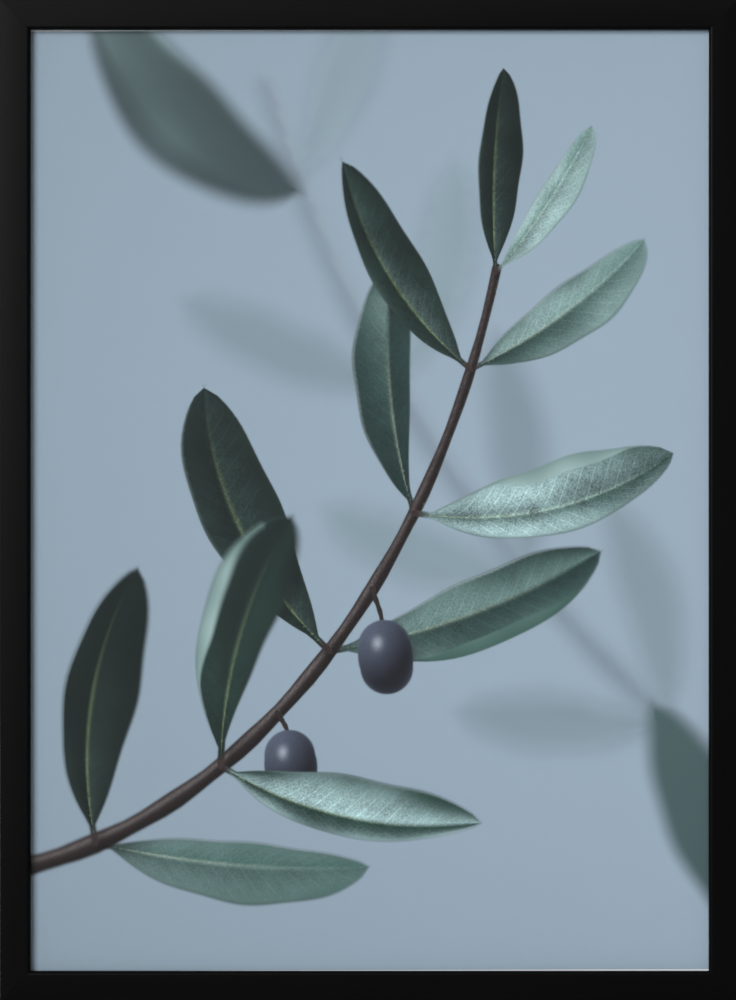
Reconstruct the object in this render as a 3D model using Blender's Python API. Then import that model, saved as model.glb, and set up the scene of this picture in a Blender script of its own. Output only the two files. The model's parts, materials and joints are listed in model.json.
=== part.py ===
"""A portrait wall print, 50 x 69 cm, in a black mitred moulding with a clear front sheet.

Units are metres, +Z is up and the picture faces -Y. The origin is the hanging point:
the crest of the middle notch of the toothed hanger on the top rail.
"""

import math

import bmesh
import bpy

MM = 0.001

# Driving sizes: the trimmed paper, and the section of the moulding.
PRINT_WIDTH = 500 * MM
PRINT_HEIGHT = 690 * MM
PRINT_THICKNESS = 0.3 * MM
FACE_WIDTH = 22 * MM
DEPTH = 20 * MM
LIP_THICKNESS = 5 * MM
REBATE_WIDTH = 6 * MM
SHEET_PLAY = 1 * MM
GLAZING_THICKNESS = 2 * MM
BOARD_THICKNESS = 3 * MM
OUTER_ROUND = 1.2 * MM
INNER_ROUND = 2.6 * MM
BACK_CHAMFER = 0.5 * MM
ROUND_STEPS = 4
GLAZING_EASE = 0.2 * MM
BOARD_EASE = 0.4 * MM
SHARP_EDGE_DEGREES = 30

# Pieces that touch on the real frame lie this far apart here.
SEAT_GAP = 0.3 * MM

# Corner wedges: thin steel angles driven into each mitre from behind.
WEDGE_LEG = 6 * MM
WEDGE_THICKNESS = 0.6 * MM
WEDGE_DEPTH = 10 * MM
WEDGE_INSETS = (4.5 * MM, 10 * MM)

# Flexible steel points that hold the stack in, with their places along each rail.
POINT_WIDTH = 7 * MM
POINT_THICKNESS = 0.8 * MM
POINT_SUNK = 8 * MM
POINT_REACH = 11 * MM
POINT_END_STEPS = 8
SHORT_RAIL_POINTS = (-140 * MM, 140 * MM)
LONG_RAIL_POINTS = (-230 * MM, 0.0, 230 * MM)

# Toothed hanger: a pressed steel strip, raised in the middle, nailed at both ends.
HANGER_LENGTH = 45 * MM
HANGER_WIDTH = 9 * MM
HANGER_THICKNESS = 0.8 * MM
HANGER_RISE = 1.6 * MM
HANGER_RAISED_HALF = 12.5 * MM
HANGER_RAMP = 3 * MM
HANGER_END_STEPS = 6
TOOTH_PITCH = 2.5 * MM
TOOTH_HEIGHT = 1.2 * MM
NOTCHES_EACH_SIDE = 4
NAIL_PLACE = 18.7 * MM
NAIL_RADIUS = 0.6 * MM
NAIL_TIP_RADIUS = 0.1 * MM
NAIL_TIP_LENGTH = 1.2 * MM
NAIL_LENGTH = 11 * MM
NAIL_HEAD_RADIUS = 1.5 * MM
NAIL_HEAD_CROWN_RADIUS = 1.0 * MM
NAIL_HEAD_RIM = 0.35 * MM
NAIL_HEAD_THICKNESS = 0.6 * MM
NAIL_SIDES = 16

# Sizes that follow from those above.
BODY_WIDTH = FACE_WIDTH - REBATE_WIDTH
SIGHT_WIDTH = PRINT_WIDTH + 2 * (SHEET_PLAY - REBATE_WIDTH)
SIGHT_HEIGHT = PRINT_HEIGHT + 2 * (SHEET_PLAY - REBATE_WIDTH)
OUTER_WIDTH = SIGHT_WIDTH + 2 * FACE_WIDTH
OUTER_HEIGHT = SIGHT_HEIGHT + 2 * FACE_WIDTH
GLAZING_FRONT = -DEPTH + LIP_THICKNESS + SEAT_GAP
PRINT_FRONT = GLAZING_FRONT + GLAZING_THICKNESS + SEAT_GAP
BOARD_FRONT = PRINT_FRONT + PRINT_THICKNESS + SEAT_GAP
POINT_FRONT = BOARD_FRONT + BOARD_THICKNESS + SEAT_GAP
HANGER_SEAT = SEAT_GAP
HANGER_MIDDLE = HANGER_SEAT + HANGER_RISE + HANGER_THICKNESS / 2
HANGER_TOP_EDGE = -(BODY_WIDTH - HANGER_WIDTH) / 2
NOTCH_CREST = HANGER_TOP_EDGE - HANGER_WIDTH + TOOTH_HEIGHT
NAIL_LINE = HANGER_TOP_EDGE - HANGER_WIDTH / 2

# Each rail: name, outer length, distance of its outer edge from the centre, turn, points.
RAILS = (
    ("rail_top", OUTER_WIDTH, OUTER_HEIGHT / 2, 0, SHORT_RAIL_POINTS),
    ("stile_right", OUTER_HEIGHT, OUTER_WIDTH / 2, 90, LONG_RAIL_POINTS),
    ("rail_bottom", OUTER_WIDTH, OUTER_HEIGHT / 2, 180, SHORT_RAIL_POINTS),
    ("stile_left", OUTER_HEIGHT, OUTER_WIDTH / 2, 270, LONG_RAIL_POINTS),
)
HANGER_RAILS = {"rail_top": "upright", "stile_left": "sideways"}


def clear_scene():
    for thing in list(bpy.data.objects):
        bpy.data.objects.remove(thing)


def finish(name, colour, roughness, metallic=0.0, alpha=1.0):
    """A Principled material; colour is linear RGB."""
    made = bpy.data.materials.new(name)
    made.use_nodes = True
    shader = made.node_tree.nodes["Principled BSDF"]
    shader.inputs["Base Color"].default_value = (*colour, 1.0)
    shader.inputs["Roughness"].default_value = roughness
    shader.inputs["Metallic"].default_value = metallic
    shader.inputs["Alpha"].default_value = alpha
    return made


def add_object(name, shape, material, parent):
    """Turns a bmesh into a named object, with its faces pointing out."""
    bmesh.ops.recalc_face_normals(shape, faces=shape.faces)
    mesh = bpy.data.meshes.new(name)
    shape.to_mesh(mesh)
    shape.free()
    mesh.shade_smooth()
    mesh.set_sharp_from_angle(angle=math.radians(SHARP_EDGE_DEGREES))
    made = bpy.data.objects.new(name, mesh)
    bpy.context.scene.collection.objects.link(made)
    made.data.materials.append(material)
    made.parent = parent
    return made


def add_empty(name, location, turn_degrees=0, parent=None):
    made = bpy.data.objects.new(name, None)
    bpy.context.scene.collection.objects.link(made)
    made.location = location
    made.rotation_euler = (0, math.radians(turn_degrees), 0)
    made.parent = parent
    return made


def make_cutter(thing, cutters):
    """Keeps a shape as a helper for the Boolean that cuts the rails."""
    thing.hide_render = True
    thing.display_type = "WIRE"
    bpy.context.scene.collection.objects.unlink(thing)
    cutters.objects.link(thing)
    return thing


def arc(centre_w, centre_y, radius, start_degrees, end_degrees):
    """Points of a round edge of the moulding's section, both ends included."""
    points = []
    for step in range(ROUND_STEPS + 1):
        share = step / ROUND_STEPS
        angle = math.radians(start_degrees + share * (end_degrees - start_degrees))
        points.append(
            (centre_w + radius * math.cos(angle), centre_y + radius * math.sin(angle))
        )
    return points


def moulding_section():
    """(distance in from the outer edge, depth) round the rebated section."""
    return [
        *arc(OUTER_ROUND, -DEPTH + OUTER_ROUND, OUTER_ROUND, 180, 270),
        *arc(FACE_WIDTH - INNER_ROUND, -DEPTH + INNER_ROUND, INNER_ROUND, 270, 360),
        (FACE_WIDTH, -DEPTH + LIP_THICKNESS),
        (BODY_WIDTH, -DEPTH + LIP_THICKNESS),
        (BODY_WIDTH, -BACK_CHAMFER),
        (BODY_WIDTH - BACK_CHAMFER, 0.0),
        (BACK_CHAMFER, 0.0),
        (0.0, -BACK_CHAMFER),
    ]


def mitred_rail(outer_length):
    """The section drawn out along X, with both ends cut at 45 degrees for the mitre."""
    shape = bmesh.new()
    glue_line = SEAT_GAP / math.sqrt(2)
    ends = []
    for side in (-1, 1):
        loop = []
        for inward, depth in moulding_section():
            reach = outer_length / 2 - inward - glue_line
            loop.append(shape.verts.new((side * reach, depth, -inward)))
        ends.append(loop)
        shape.faces.new(loop)
    first, last = ends
    for i in range(len(first)):
        after = (i + 1) % len(first)
        shape.faces.new((first[i], first[after], last[after], last[i]))
    return shape


def plate(outline, front, thickness):
    """An outline in X and Z, drawn out along Y from front."""
    shape = bmesh.new()
    face = shape.faces.new([shape.verts.new((x, front, z)) for x, z in outline])
    drawn = bmesh.ops.extrude_face_region(shape, geom=[face])
    moved = [v for v in drawn["geom"] if isinstance(v, bmesh.types.BMVert)]
    bmesh.ops.translate(shape, verts=moved, vec=(0, thickness, 0))
    return shape


def sheet(name, front, thickness, material, parent, edge_round):
    half_width, half_height = PRINT_WIDTH / 2, PRINT_HEIGHT / 2
    corners = [
        (-half_width, -half_height),
        (half_width, -half_height),
        (half_width, half_height),
        (-half_width, half_height),
    ]
    made = add_object(name, plate(corners, front, thickness), material, parent)
    if edge_round:
        bevel = made.modifiers.new("eased_edges", "BEVEL")
        bevel.width = edge_round
        bevel.segments = 1
    return made


def wedge_outline(inset, outer_length, clearance):
    """The V of a corner wedge: its apex on the mitre, one leg along each rail."""
    x0, z0 = outer_length / 2 - inset, -inset
    half = WEDGE_THICKNESS / 2 + clearance
    leg = WEDGE_LEG + clearance
    return [
        (x0 + half, z0 + half),
        (x0 + half, z0 - leg),
        (x0 - half, z0 - leg),
        (x0 - half, z0 - half),
        (x0 - leg, z0 - half),
        (x0 - leg, z0 + half),
    ]


def point_outline(place, clearance):
    """A flex point: square where it is driven in, round where it holds the board."""
    half = POINT_WIDTH / 2 + clearance
    root = -(BODY_WIDTH - POINT_SUNK) + clearance
    round_centre = -(BODY_WIDTH + POINT_REACH) + POINT_WIDTH / 2
    outline = [(place + half, root), (place - half, root)]
    for step in range(POINT_END_STEPS + 1):
        angle = math.pi + math.pi * step / POINT_END_STEPS
        outline.append(
            (place + half * math.cos(angle), round_centre + half * math.sin(angle))
        )
    return outline


def hanger_stations():
    """(x, top edge, bottom edge, rise) along the strip, with the notches cut from below."""
    top, bottom = HANGER_TOP_EDGE, HANGER_TOP_EDGE - HANGER_WIDTH
    end_radius = HANGER_WIDTH / 2
    right = []
    for step in range(2 * NOTCHES_EACH_SIDE + 2):
        low = bottom if step % 2 else NOTCH_CREST
        right.append((step * TOOTH_PITCH / 2, top, low))
    right.append((HANGER_RAISED_HALF, top, bottom))
    right.append((HANGER_RAISED_HALF + HANGER_RAMP, top, bottom))
    for step in range(HANGER_END_STEPS):
        angle = math.pi / 2 * step / HANGER_END_STEPS
        x = HANGER_LENGTH / 2 - end_radius + end_radius * math.sin(angle)
        spread = end_radius * math.cos(angle)
        right.append((x, NAIL_LINE + spread, NAIL_LINE - spread))
    left = [(-x, high, low) for x, high, low in reversed(right[1:])]
    return [
        (x, high, low, HANGER_RISE if abs(x) <= HANGER_RAISED_HALF else 0.0)
        for x, high, low in left + right
    ]


def hanger_strip():
    shape = bmesh.new()
    rings = []
    for x, high, low, rise in hanger_stations():
        near = HANGER_SEAT + rise
        far = near + HANGER_THICKNESS
        corners = ((near, high), (far, high), (far, low), (near, low))
        rings.append([shape.verts.new((x, y, z)) for y, z in corners])
    for ring, following in zip(rings, rings[1:]):
        for i in range(4):
            after = (i + 1) % 4
            shape.faces.new((ring[i], ring[after], following[after], following[i]))
    shape.faces.new(rings[0])
    shape.faces.new(rings[-1])
    return shape


def turned_pin(radii_and_depths):
    """A round pin about the Y axis, from (radius, depth) pairs along it."""
    shape = bmesh.new()
    rings = []
    for radius, depth in radii_and_depths:
        ring = []
        for side in range(NAIL_SIDES):
            angle = 2 * math.pi * side / NAIL_SIDES
            ring.append(
                shape.verts.new(
                    (radius * math.cos(angle), depth, radius * math.sin(angle))
                )
            )
        rings.append(ring)
    for ring, following in zip(rings, rings[1:]):
        for i in range(NAIL_SIDES):
            after = (i + 1) % NAIL_SIDES
            shape.faces.new((ring[i], ring[after], following[after], following[i]))
    shape.faces.new(rings[0])
    shape.faces.new(rings[-1])
    return shape


def nail_shape():
    head_seat = HANGER_SEAT + HANGER_THICKNESS + SEAT_GAP
    tip = head_seat - NAIL_LENGTH
    return turned_pin(
        [
            (NAIL_TIP_RADIUS, tip),
            (NAIL_RADIUS, tip + NAIL_TIP_LENGTH),
            (NAIL_RADIUS, head_seat),
            (NAIL_HEAD_RADIUS, head_seat),
            (NAIL_HEAD_RADIUS, head_seat + NAIL_HEAD_RIM),
            (NAIL_HEAD_CROWN_RADIUS, head_seat + NAIL_HEAD_THICKNESS),
        ]
    )


def nail_hole_shape():
    """The hole that a nail fills: through the strip, and blind in the moulding."""
    hole_radius = NAIL_RADIUS + SEAT_GAP
    over = HANGER_SEAT + HANGER_THICKNESS + SEAT_GAP
    return turned_pin([(hole_radius, over - NAIL_LENGTH - SEAT_GAP), (hole_radius, over)])


def cut_with(thing, cutters):
    cut = thing.modifiers.new("pockets", "BOOLEAN")
    cut.operation = "DIFFERENCE"
    cut.solver = "EXACT"
    cut.operand_type = "COLLECTION"
    cut.collection = cutters


def main():
    clear_scene()
    black = finish("black_lacquer", (0.010, 0.010, 0.0105), 0.42)
    acrylic = finish("clear_acrylic", (0.95, 0.97, 0.97), 0.03, alpha=0.12)
    paper = finish("printed_paper", (0.300, 0.380, 0.455), 0.55)
    hardboard = finish("hardboard", (0.230, 0.135, 0.070), 0.75)
    steel = finish("bright_steel", (0.58, 0.58, 0.57), 0.32, metallic=1.0)
    dark_steel = finish("blued_steel", (0.055, 0.058, 0.062), 0.38, metallic=1.0)

    rail_pockets = bpy.data.collections.new("rail_pockets")
    nail_holes = bpy.data.collections.new("nail_holes")
    for helpers in (rail_pockets, nail_holes):
        helpers.hide_render = True
        bpy.context.scene.collection.children.link(helpers)

    # Everything is placed from the picture's centre, so that the hanging point is the origin.
    centre = add_empty(
        "picture_centre",
        (0, -HANGER_MIDDLE, -(OUTER_HEIGHT / 2 + NOTCH_CREST)),
    )
    sheet("glazing_sheet", GLAZING_FRONT, GLAZING_THICKNESS, acrylic, centre, GLAZING_EASE)
    sheet("print_sheet", PRINT_FRONT, PRINT_THICKNESS, paper, centre, 0)
    sheet("backing_board", BOARD_FRONT, BOARD_THICKNESS, hardboard, centre, BOARD_EASE)

    rails, strips = [], []
    for name, outer_length, distance, turn, point_places in RAILS:
        angle = math.radians(turn)
        edge = add_empty(
            name + "_edge",
            (distance * math.sin(angle), 0, distance * math.cos(angle)),
            turn,
            centre,
        )
        rails.append(add_object(name, mitred_rail(outer_length), black, edge))

        for number, inset in enumerate(WEDGE_INSETS, 1):
            outline = wedge_outline(inset, outer_length, 0.0)
            pocket = wedge_outline(inset, outer_length, SEAT_GAP)
            add_object(
                f"corner_wedge_{name}_{number}",
                plate(outline, -WEDGE_DEPTH, WEDGE_DEPTH),
                dark_steel,
                edge,
            )
            depth = WEDGE_DEPTH + SEAT_GAP
            cut = add_object("pocket", plate(pocket, -depth, depth + MM), dark_steel, edge)
            make_cutter(cut, rail_pockets)

        for number, place in enumerate(point_places, 1):
            add_object(
                f"flex_point_{name}_{number}",
                plate(point_outline(place, 0.0), POINT_FRONT, POINT_THICKNESS),
                steel,
                edge,
            )
            slot = plate(
                point_outline(place, SEAT_GAP),
                POINT_FRONT - SEAT_GAP,
                POINT_THICKNESS + 2 * SEAT_GAP,
            )
            make_cutter(add_object("slot", slot, steel, edge), rail_pockets)

        if name in HANGER_RAILS:
            hung = HANGER_RAILS[name]
            strips.append(
                add_object(f"toothed_hanger_{hung}", hanger_strip(), steel, edge)
            )
            for number, side in enumerate((-1, 1), 1):
                place = (side * NAIL_PLACE, 0, NAIL_LINE)
                nail = add_object(f"hanger_nail_{hung}_{number}", nail_shape(), steel, edge)
                nail.location = place
                hole = add_object("hole", nail_hole_shape(), steel, edge)
                hole.location = place
                make_cutter(hole, nail_holes)

    for rail in rails:
        cut_with(rail, rail_pockets)
    for nailed in (*rails, *strips):
        cut_with(nailed, nail_holes)


main()
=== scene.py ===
# %% [markdown]
# This file dresses a framed wall print: a black mitred moulding, a clear front sheet, a print of a
# twig in soft focus, a hardboard back and the small steel parts that hold it all together. The
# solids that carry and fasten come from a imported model, which is loaded first and never moved. Each
# step below adds one finish or one finer piece to it.

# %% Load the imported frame
import json
import math

import bmesh
import bpy
import numpy as np
from mathutils import Matrix, Vector
from mathutils.geometry import delaunay_2d_cdt

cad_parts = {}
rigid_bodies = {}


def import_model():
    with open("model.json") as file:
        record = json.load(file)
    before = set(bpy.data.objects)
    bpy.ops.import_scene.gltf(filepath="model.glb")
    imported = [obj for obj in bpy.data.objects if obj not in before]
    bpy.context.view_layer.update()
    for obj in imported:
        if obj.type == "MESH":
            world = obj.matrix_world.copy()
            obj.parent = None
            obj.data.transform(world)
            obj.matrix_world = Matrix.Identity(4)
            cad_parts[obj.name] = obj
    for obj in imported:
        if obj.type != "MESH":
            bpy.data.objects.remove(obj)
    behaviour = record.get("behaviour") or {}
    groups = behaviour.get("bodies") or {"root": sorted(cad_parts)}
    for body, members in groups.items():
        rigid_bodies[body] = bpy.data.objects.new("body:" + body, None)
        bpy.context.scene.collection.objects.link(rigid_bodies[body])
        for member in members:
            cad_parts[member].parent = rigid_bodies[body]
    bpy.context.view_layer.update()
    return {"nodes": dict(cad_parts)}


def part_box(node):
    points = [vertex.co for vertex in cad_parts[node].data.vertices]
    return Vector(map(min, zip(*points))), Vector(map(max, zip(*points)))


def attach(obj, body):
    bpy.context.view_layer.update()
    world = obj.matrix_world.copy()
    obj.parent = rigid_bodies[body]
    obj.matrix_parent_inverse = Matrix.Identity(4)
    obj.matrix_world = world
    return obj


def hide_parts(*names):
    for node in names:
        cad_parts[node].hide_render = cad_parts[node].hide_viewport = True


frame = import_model()
print("nodes in the frame:", len(frame["nodes"]))

# %% [markdown]
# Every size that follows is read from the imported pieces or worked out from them, because a number
# that is typed twice drifts apart. The rails give the moulding's face width and depth, and the
# paper gives the size of the picture and the plane that it is printed on.

# %% Measure the moulding and the paper
MM = 0.001

rail_low, rail_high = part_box("rail_top")
paper_low, paper_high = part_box("print_sheet")

FRONT, BACK = rail_low[1], rail_high[1]
DEPTH = BACK - FRONT
FACE_WIDTH = rail_high[2] - rail_low[2]
FLOOR_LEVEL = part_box("rail_bottom")[0][2]
OUTER_WIDTH = -2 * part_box("stile_left")[0][0]
OUTER_HEIGHT = rail_high[2] - FLOOR_LEVEL
SIGHT_WIDTH = OUTER_WIDTH - 2 * FACE_WIDTH
SIGHT_HEIGHT = OUTER_HEIGHT - 2 * FACE_WIDTH
CENTRE = Vector((0, BACK, (paper_low[2] + paper_high[2]) / 2))
print("outside", round(OUTER_WIDTH / MM), "x", round(OUTER_HEIGHT / MM), "mm")
print("picture", round(SIGHT_WIDTH / MM), "x", round(SIGHT_HEIGHT / MM), "mm")

# %% [markdown]
# The photograph looks straight at the picture and is cropped right at the frame's outer edge, a
# hair more on the right. A long lens gives this flat view, where a near one would show more of the
# lip's inner sides. The lens length follows from how many pixels a millimetre takes in the
# 736 x 1000 image, and the camera stands where the middle of the picture falls as photographed.

# %% Place the camera
IMAGE_WIDTH, IMAGE_HEIGHT = 736, 1000
PIXELS_PER_MM = 1.3865
PICTURE_MIDDLE = (369.7, 500.4)
CAMERA_DISTANCE = 2.0
SENSOR_HEIGHT = 36.0

camera_data = bpy.data.cameras.new("straight_on")
camera_data.sensor_fit = "VERTICAL"
camera_data.sensor_height = SENSOR_HEIGHT
camera_data.lens = SENSOR_HEIGHT * CAMERA_DISTANCE / (IMAGE_HEIGHT / PIXELS_PER_MM * MM)
camera = bpy.data.objects.new("straight_on", camera_data)
across = (IMAGE_WIDTH / 2 - PICTURE_MIDDLE[0]) / PIXELS_PER_MM * MM
up = (PICTURE_MIDDLE[1] - IMAGE_HEIGHT / 2) / PIXELS_PER_MM * MM
camera.location = (across, FRONT - CAMERA_DISTANCE, CENTRE.z + up)
camera.rotation_euler = (math.radians(90), 0, 0)
bpy.context.scene.collection.objects.link(camera)
bpy.context.scene.camera = camera
print("lens", round(camera_data.lens), "mm")

# %% [markdown]
# A glazed picture is lit from the side, outside the angles at which the sheet would mirror a lamp
# into the lens. One big soft lamp stands far off to the upper left, like a tall window, so the lip
# throws a soft shadow about six millimetres wide on the left of the print and a weaker one along
# the top. A weak fill lamp above and a dim, even room lift that shadow to about a quarter of full
# light, and leave the right and lower edges of the print almost free of shade. The lamp behind is
# only there for the back of the frame.

# %% Light the picture
LAMPS = (
    # name, place from the picture's centre in metres, width, height, watts
    ("window", (-2.35, -3.9, 1.35), 2.4, 2.6, 212.0),
    ("fill", (0.30, -4.0, 2.35), 1.8, 1.0, 20.0),
    ("behind", (0.9, 1.9, 0.9), 1.6, 1.2, 45.0),
)


def hang_lamp(name, place, width, height, watts):
    data = bpy.data.lights.new(name, "AREA")
    data.shape = "RECTANGLE"
    data.size = width
    data.size_y = height
    data.energy = watts
    lamp = bpy.data.objects.new(name, data)
    lamp.location = CENTRE + Vector(place)
    lamp.rotation_euler = (-Vector(place)).to_track_quat("-Z", "Y").to_euler()
    bpy.context.scene.collection.objects.link(lamp)


for row in LAMPS:
    hang_lamp(*row)

room = bpy.data.worlds.new("dim_room")
room.use_nodes = True
walls = room.node_tree.nodes["Background"].inputs
walls["Color"].default_value = (0.94, 0.97, 1.0, 1)
walls["Strength"].default_value = 0.17
bpy.context.scene.world = room
bpy.context.scene.view_settings.view_transform = "Standard"
print("lamps:", ", ".join(row[0] for row in LAMPS))

# %% [markdown]
# Shader nodes are easier to read as sums than as a web of boxes. A Wire is one output socket, so
# two masks are multiplied with a star, and 1 - mask works as it does on paper. A Finish is one
# material: its node method adds any node, sets it up first, and then feeds its sockets.

# %% Shader maths as Python expressions
class Wire:
    """One output socket of a node in a finish."""

    def __init__(self, finish, socket):
        self.finish = finish
        self.socket = socket

    def sum_of(self, operation, *values):
        settings = {"operation": operation}
        return self.finish.node("ShaderNodeMath", settings, dict(enumerate(values)))

    def __add__(self, other):
        return self.sum_of("ADD", self, other)

    def __sub__(self, other):
        return self.sum_of("SUBTRACT", self, other)

    def __rsub__(self, other):
        return self.sum_of("SUBTRACT", other, self)

    def __mul__(self, other):
        return self.sum_of("MULTIPLY", self, other)

    def __pow__(self, other):
        return self.sum_of("POWER", self, other)

    def __abs__(self):
        return self.sum_of("ABSOLUTE", self)

    __radd__ = __add__
    __rmul__ = __mul__

    def also(self, name):
        """Another output of the same node."""
        return Wire(self.finish, self.socket.node.outputs[name])

    def ramp(self, low, high):
        """Maps low..high to 0..1, eased at both ends and held beyond them."""
        values = {"Value": self, "From Min": low, "From Max": high}
        return self.finish.node("ShaderNodeMapRange", {"interpolation_type": "SMOOTHSTEP"}, values)


class Finish:
    """A material with its Principled shader, and the nodes that feed it."""

    def __init__(self, name):
        self.material = bpy.data.materials.new(name)
        self.material.use_nodes = True
        self.tree = self.material.node_tree
        self.skin = self.tree.nodes["Principled BSDF"]

    def feed(self, socket, value):
        if isinstance(value, Wire):
            self.tree.links.new(value.socket, socket)
        else:
            socket.default_value = value

    def node(self, kind, settings=None, inputs=None, output=0):
        made = self.tree.nodes.new(kind)
        for name, value in (settings or {}).items():
            setattr(made, name, value)
        for name, value in (inputs or {}).items():
            self.feed(made.inputs[name], value)
        return Wire(self, made.outputs[output])

    def blend(self, share, first, second, way="MIX"):
        """A Mix node on colours: share 0 gives first, and 1 gives second."""
        settings = {"data_type": "RGBA", "blend_type": way}
        return self.node("ShaderNodeMix", settings, {0: share, 6: first, 7: second}, output=2)

    def split(self, vector):
        """The three parts of a vector."""
        first = self.node("ShaderNodeSeparateXYZ", None, {"Vector": vector})
        return [first.also(axis) for axis in "XYZ"]

    def place(self, stretch=(1, 1, 1)):
        """The point on the object, stretched so that noise can run with the grain."""
        point = self.node("ShaderNodeTexCoord", output=3)
        return self.node("ShaderNodeVectorMath", {"operation": "MULTIPLY"}, {0: point, 1: stretch})

    def noise(self, point, scale, detail=3.0, roughness=0.5):
        values = {"Vector": point, "Scale": scale, "Detail": detail, "Roughness": roughness}
        return self.node("ShaderNodeTexNoise", None, values)

    def bump(self, height, strength, distance):
        values = {"Height": height, "Strength": strength, "Distance": distance}
        return self.node("ShaderNodeBump", None, values)

    def wear(self, **sockets):
        """Feeds the Principled shader; an underscore stands for a space in a socket's name."""
        for name, value in sockets.items():
            self.feed(self.skin.inputs[name.replace("_", " ")], value)
        return self.material


print("shader maths ready")

# %% [markdown]
# Pieces go to the frame in one way, so a short helper does it: it turns a shape into an object,
# smooths what is round, gives it its material and hides the imported node that it stands in for.
# A imported node whose own shape is right keeps it, and only gets a better material.

# %% Hand a piece to the frame, or dress a imported node
SHARP_DEGREES = 32


def hand_over(name, shape, material, node, matrix=None):
    bmesh.ops.recalc_face_normals(shape, faces=shape.faces)
    mesh = bpy.data.meshes.new(name)
    shape.to_mesh(mesh)
    shape.free()
    mesh.shade_smooth()
    mesh.set_sharp_from_angle(angle=math.radians(SHARP_DEGREES))
    mesh.materials.append(material)
    piece = bpy.data.objects.new(name, mesh)
    bpy.context.scene.collection.objects.link(piece)
    piece.matrix_world = matrix or Matrix.Identity(4)
    bpy.context.view_layer.update()
    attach(piece, "root")
    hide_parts(node)
    return piece


def dress(start_of_name, material):
    """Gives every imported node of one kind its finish, and counts them."""
    found = [node for name, node in frame["nodes"].items() if name.startswith(start_of_name)]
    for node in found:
        node.material_slots[0].material = material
    print(start_of_name, "dressed:", len(found))
    return found


# %% [markdown]
# The moulding is a softwood strip, planed to a rebated section, sprayed black and cut at 45
# degrees. One path with a bevel could draw it, but a framer joins four separate lengths, so the
# grain runs along each one and the mitres stay sharp. The section is drawn once, round corner by
# round corner, and each end is set back by its distance from the outer edge, as a mitre saw does.

# %% Draw the moulding's section
LIP_THICKNESS = 5 * MM
REBATE_WIDTH = 6 * MM
OUTER_ROUND = 1.2 * MM
INNER_ROUND = 2.6 * MM
BACK_ROUND = 0.5 * MM
ROUND_STEPS = 10
BODY_WIDTH = FACE_WIDTH - REBATE_WIDTH


def round_corner(centre, radius, start_degrees, end_degrees):
    """Points of one rounded corner of the section, both ends included."""
    angles = np.radians(np.linspace(start_degrees, end_degrees, ROUND_STEPS + 1))
    return [(centre[0] + radius * math.cos(a), centre[1] + radius * math.sin(a)) for a in angles]


def moulding_section():
    """(distance in from the outer edge, depth from the back) round the section."""
    inner = FACE_WIDTH - INNER_ROUND
    return [
        *round_corner((OUTER_ROUND, -DEPTH + OUTER_ROUND), OUTER_ROUND, 180, 270),
        *round_corner((inner, -DEPTH + INNER_ROUND), INNER_ROUND, 270, 360),
        (FACE_WIDTH, -DEPTH + LIP_THICKNESS),
        (BODY_WIDTH, -DEPTH + LIP_THICKNESS),
        *round_corner((BODY_WIDTH - BACK_ROUND, -BACK_ROUND), BACK_ROUND, 0, 90),
        *round_corner((BACK_ROUND, -BACK_ROUND), BACK_ROUND, 90, 180),
    ]


print("points round the section:", len(moulding_section()))

# %% [markdown]
# The black finish is a sprayed satin lacquer, and it isn't one flat black: the grain of the wood
# still lifts it a little along each length, and the spray leaves a faint orange peel. The lengths
# are modelled lying along X, so noise that is stretched in X runs the right way on all four once
# they are turned into place.

# %% Mix the black lacquer
LACQUER_DARK = (0.0015, 0.0015, 0.0016, 1)
LACQUER_PALE = (0.0036, 0.0035, 0.0036, 1)


def black_lacquer():
    lacquer = Finish("black_lacquer")
    grain = lacquer.noise(lacquer.place((14, 700, 700)), 1.0, detail=2.0, roughness=0.6)
    peel = lacquer.noise(lacquer.place(), 900.0, detail=1.0)
    cloud = lacquer.noise(lacquer.place((3, 30, 30)), 1.0, detail=2.0)
    return lacquer.wear(
        Base_Color=lacquer.blend(grain * 0.35 + cloud * 0.65, LACQUER_DARK, LACQUER_PALE),
        Roughness=cloud * 0.08 + grain * 0.08 + 0.30,
        Normal=lacquer.bump(grain * 0.6 + peel * 0.4, 0.25, 0.06 * MM),
        Specular_IOR_Level=0.045,
    )


LACQUER = black_lacquer()
print("mixed", LACQUER.name)

# %% [markdown]
# From behind, each length is cut for its hardware: narrow V slots at the mitres for the corner
# wedges, flat slots in the rebate for the steel points, and holes for the hanger's nails. The
# packed hardware stays where it is, so each cutter is a copy of it, swollen by a little play.

# %% Cut and place the four lengths
GLUE_LINE = 0.05 * MM
SLOT_PLAY = 0.08 * MM
THROUGH_THE_BACK = 1 * MM
LET_IN = ("corner_wedge", "flex_point", "hanger_nail")
LENGTHS = (
    # name, the node it stands for, outer length, outer edge from the centre, turn in degrees
    ("moulding_top", "rail_top", OUTER_WIDTH, OUTER_HEIGHT / 2, 0),
    ("moulding_right", "stile_right", OUTER_HEIGHT, OUTER_WIDTH / 2, 90),
    ("moulding_bottom", "rail_bottom", OUTER_WIDTH, OUTER_HEIGHT / 2, 180),
    ("moulding_left", "stile_left", OUTER_HEIGHT, OUTER_WIDTH / 2, 270),
)


def mitred_length(outer_length):
    section = moulding_section()
    shape = bmesh.new()
    reach = outer_length / 2 - GLUE_LINE
    ends = []
    for side in (-1, 1):
        places = [(side * (reach - inward), y, -inward) for inward, y in section]
        ends.append([shape.verts.new(place) for place in places])
        shape.faces.new(ends[-1])
    for i in range(len(section)):
        after = (i + 1) % len(section)
        shape.faces.new((ends[0][i], ends[0][after], ends[1][after], ends[1][i]))
    return shape


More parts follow.
